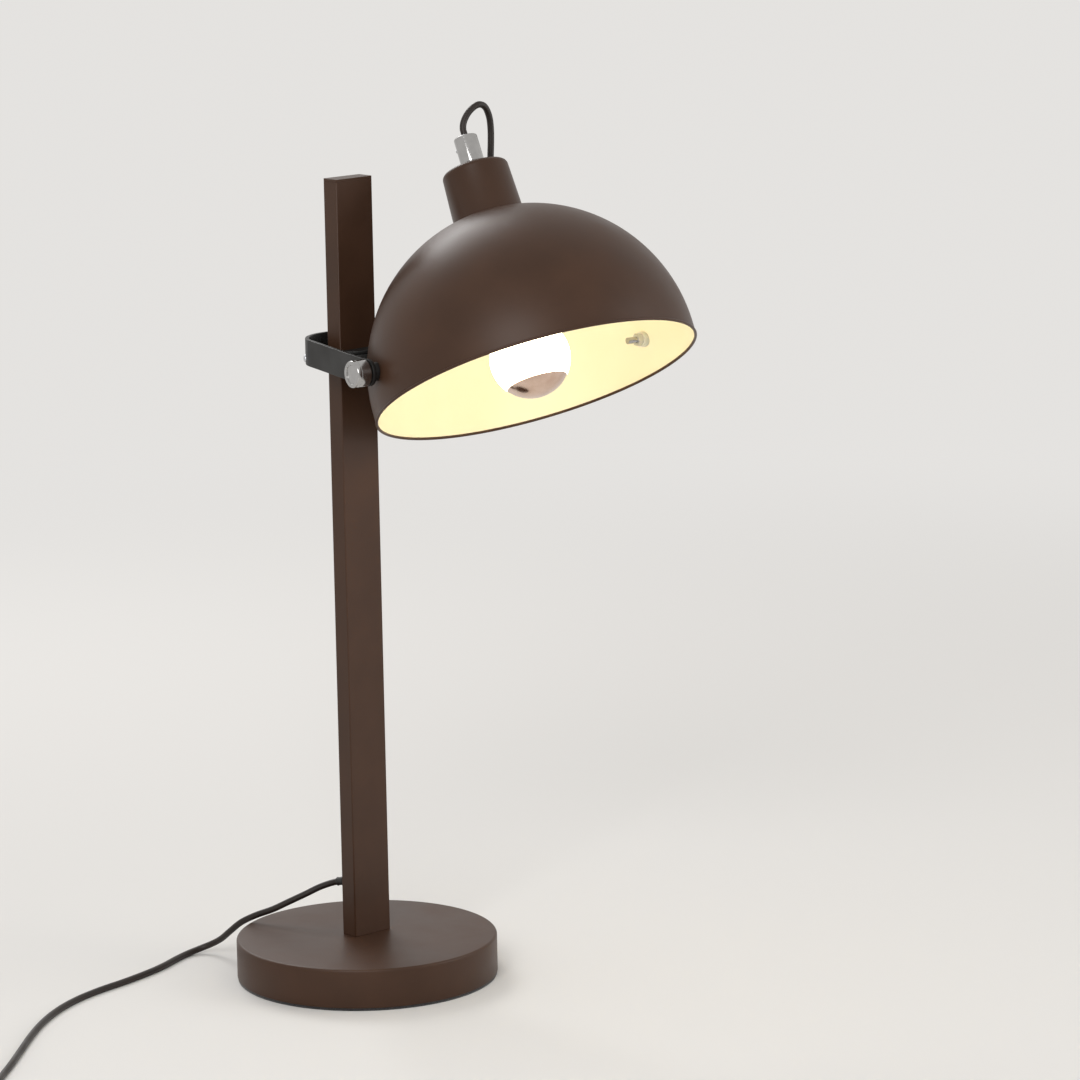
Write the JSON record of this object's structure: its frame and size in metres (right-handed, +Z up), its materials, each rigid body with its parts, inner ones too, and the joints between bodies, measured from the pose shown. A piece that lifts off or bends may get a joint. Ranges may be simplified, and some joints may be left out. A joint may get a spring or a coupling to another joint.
{
  "type": "dome shade desk lamp",
  "caption": "Desk lamp with a dome shade in a strap yoke that slides, turns and tilts on a flat post, on a heavy round base.",
  "frame": {"origin": "middle of the base's underside, on the surface it stands on", "axes": "+Z up along the post, +X along the post's wide face, -Y the front, where the open shade points; the free cord leaves the post at the back and runs to -X"},
  "size_m": [0.6882, 0.3849, 0.6677],
  "materials": {
    "brown_paint": "satin stoved paint",
    "cast_iron": "rough cast",
    "steel": "zinc plated",
    "felt": "felt",
    "black_plastic": "matt moulding",
    "black_paint": "satin paint",
    "nylon": "plain nylon",
    "chrome": "polished",
    "brass": "turned",
    "nickel": "nickel plated",
    "ceramic": "glazed ceramic",
    "bulb_glass": "clear",
    "mirror": "silvered inside",
    "cord_rubber": "smooth sheath"
  },
  "bodies": {
    "base": {"base_cover": "brown_paint", "base_weight": "cast_iron", "base_plate": "steel", "base_felt": "felt", "base_bolts": "steel", "plate_screws": "steel", "post_tube": "brown_paint", "post_foot": "steel", "foot_screw": "steel", "post_lid": "brown_paint", "cord_relief": "black_plastic", "inner_cord": "cord_rubber", "mains_cord": "cord_rubber", "switch_cord": "cord_rubber", "coil_cord": "cord_rubber", "tail_cord": "cord_rubber", "coil_tie": "black_plastic", "switch_base": "black_plastic", "switch_lid": "black_plastic", "switch_screws": "steel", "plug_relief": "cord_rubber", "plug_body": "black_plastic", "plug_pins": "brass"},
    "slider": {"slider_sleeve": "black_plastic", "slider_pad": "nylon", "pad_spring": "steel"},
    "yoke": {"yoke_strap": "black_paint", "yoke_ring": "black_plastic", "yoke_screws": "steel", "cord_clip": "black_plastic", "clip_screw": "steel", "bridge_cord": "cord_rubber"},
    "shade": {"shade_dome": "brown_paint", "shade_neck": "brown_paint", "shade_bridge": "steel", "cord_tube": "brass", "tube_nuts": "brass", "cord_grip": "chrome", "grip_screw": "steel", "holder_cap": "black_plastic", "holder_sleeve": "black_plastic", "holder_core": "ceramic", "holder_contacts": "brass", "bulb_glass": "bulb_glass", "bulb_crown": "mirror", "bulb_cap": "nickel", "bulb_stem": "bulb_glass", "hinge_washers": "nylon", "hinge_bosses": "black_plastic", "hinge_seats": "nylon", "hinge_bolt": "chrome", "hinge_screw": "chrome", "hinge_nut": "steel", "loop_cord": "cord_rubber"},
    "knob": {"tilt_knob": "chrome"},
    "rocker": {"switch_rocker": "black_plastic"}
  },
  "joints": [
    {"name": "height_slide", "type": "slide", "parent": "base", "child": "slider", "axis": [0, 0, 1], "range_m": [-0.2, 0.105], "deforming": ["inner_cord"]},
    {"name": "yoke_swivel", "type": "hinge", "parent": "slider", "child": "yoke", "pos_m": [0.005, 0.006, 0.4845], "axis": [0, 0, 1], "range_deg": [-75, 75], "deforming": ["bridge_cord"]},
    {"name": "shade_tilt", "type": "hinge", "parent": "yoke", "child": "shade", "pos_m": [0.06931, -0.10402, 0.4845], "axis": [0.9903, -0.1392, 0], "range_deg": [-40, 20], "deforming": ["loop_cord"]},
    {"name": "knob_turn", "type": "hinge", "parent": "yoke", "child": "knob", "pos_m": [0.06931, -0.10402, 0.4845], "axis": [-0.9903, 0.1392, 0], "continuous": true},
    {"name": "switch_rock", "type": "hinge", "parent": "base", "child": "rocker", "pos_m": [-0.419, -0.035, 0.0135], "axis": [0, 1, 0], "range_deg": [-16, 0]}
  ]
}
